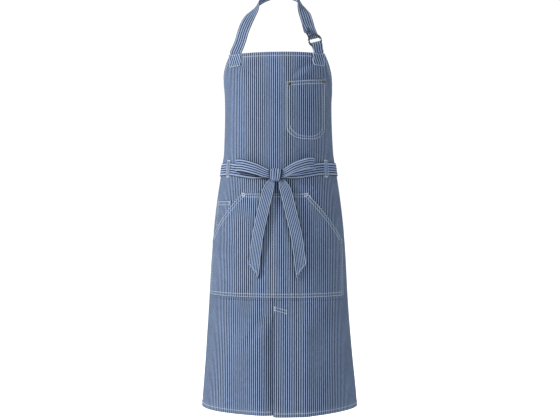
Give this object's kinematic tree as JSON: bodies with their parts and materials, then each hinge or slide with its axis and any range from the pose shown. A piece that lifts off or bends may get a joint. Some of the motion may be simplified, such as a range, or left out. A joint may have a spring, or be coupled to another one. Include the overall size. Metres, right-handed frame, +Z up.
{
  "type": "butcher apron",
  "caption": "Striped bib apron with ring-adjusted neck strap, chest and kangaroo pockets, a coin pocket, ties bowed in front and a centre vent.",
  "frame": {"origin": "middle of the neck strap's inner face at the nape, where the apron hangs on the neck", "axes": "+Z up, -Y towards the front of the apron, +X to the right seen from the front"},
  "size_m": [0.434, 0.2731, 1.193],
  "materials": {
    "denim": "striped twill, matte",
    "denim_tape": "striped twill, folded and stitched",
    "ring_metal": "dark antique plating",
    "rivet_brass": "aged brass"
  },
  "bodies": {
    "neck_loop": {"neck_strap": "denim_tape", "ring_tab": "denim_tape", "back_ring": "ring_metal"},
    "front_ring": {"front_ring": "ring_metal"},
    "apron": {"body_panel": "denim", "bib_top_hem": "denim", "armhole_hem_left": "denim", "armhole_hem_right": "denim", "side_hem_left": "denim", "side_hem_right": "denim", "chest_pocket": "denim", "kangaroo_pocket": "denim", "coin_pocket": "denim", "pocket_rivet_left": "rivet_brass", "pocket_rivet_right": "rivet_brass", "rivet_burr_left": "rivet_brass", "rivet_burr_right": "rivet_brass", "belt_loop_left": "denim_tape", "belt_loop_right": "denim_tape", "strap_end_patch": "denim_tape", "tab_end_patch": "denim_tape", "waist_tie_left": "denim_tape", "waist_tie_right": "denim_tape", "bow_knot": "denim_tape"},
    "skirt_left": {"skirt_left": "denim", "skirt_side_hem_left": "denim", "bottom_hem_left": "denim", "vent_underlap": "denim"},
    "skirt_right": {"skirt_right": "denim", "skirt_side_hem_right": "denim", "bottom_hem_right": "denim"},
    "bow_loop_left": {"bow_loop_left": "denim_tape"},
    "bow_loop_right": {"bow_loop_right": "denim_tape"},
    "bow_tail_left": {"bow_tail_left": "denim_tape"},
    "bow_tail_right": {"bow_tail_right": "denim_tape"}
  },
  "joints": [
    {"name": "bib_swing", "type": "hinge", "parent": "neck_loop", "child": "apron", "pos_m": [0, -0.1702, -0.2054], "axis": [-1, 0, 0], "range_deg": [0, 45]},
    {"name": "front_ring_tilt", "type": "hinge", "parent": "neck_loop", "child": "front_ring", "pos_m": [0.11396, -0.16086, -0.18754], "axis": [0.8985, 0.3478, 0.2677], "range_deg": [0, 25]},
    {"name": "vent_right", "type": "hinge", "parent": "apron", "child": "skirt_right", "pos_m": [0.205, -0.0744, -0.906], "axis": [0, 0, 1], "range_deg": [0, 20]},
    {"name": "vent_left", "type": "hinge", "parent": "apron", "child": "skirt_left", "pos_m": [-0.205, -0.0744, -0.906], "axis": [0, 0, -1], "range_deg": [0, 10]},
    {"name": "bow_loop_right_swing", "type": "hinge", "parent": "apron", "child": "bow_loop_right", "pos_m": [0.0226, -0.2035, -0.535], "axis": [0, 0, -1], "range_deg": [0, 35]},
    {"name": "bow_loop_left_swing", "type": "hinge", "parent": "apron", "child": "bow_loop_left", "pos_m": [-0.0149, -0.2036, -0.535], "axis": [0, 0, 1], "range_deg": [0, 35]},
    {"name": "bow_tail_right_swing", "type": "hinge", "parent": "apron", "child": "bow_tail_right", "pos_m": [0.0224, -0.2043, -0.555], "axis": [-1, 0, 0], "range_deg": [0, 60]},
    {"name": "bow_tail_left_swing", "type": "hinge", "parent": "apron", "child": "bow_tail_left", "pos_m": [-0.009, -0.2046, -0.555], "axis": [-1, 0, 0], "range_deg": [0, 60]}
  ],
  "couplings": [
    {"joint": "vent_left", "follows": "vent_right", "ratio": 0.5}
  ]
}
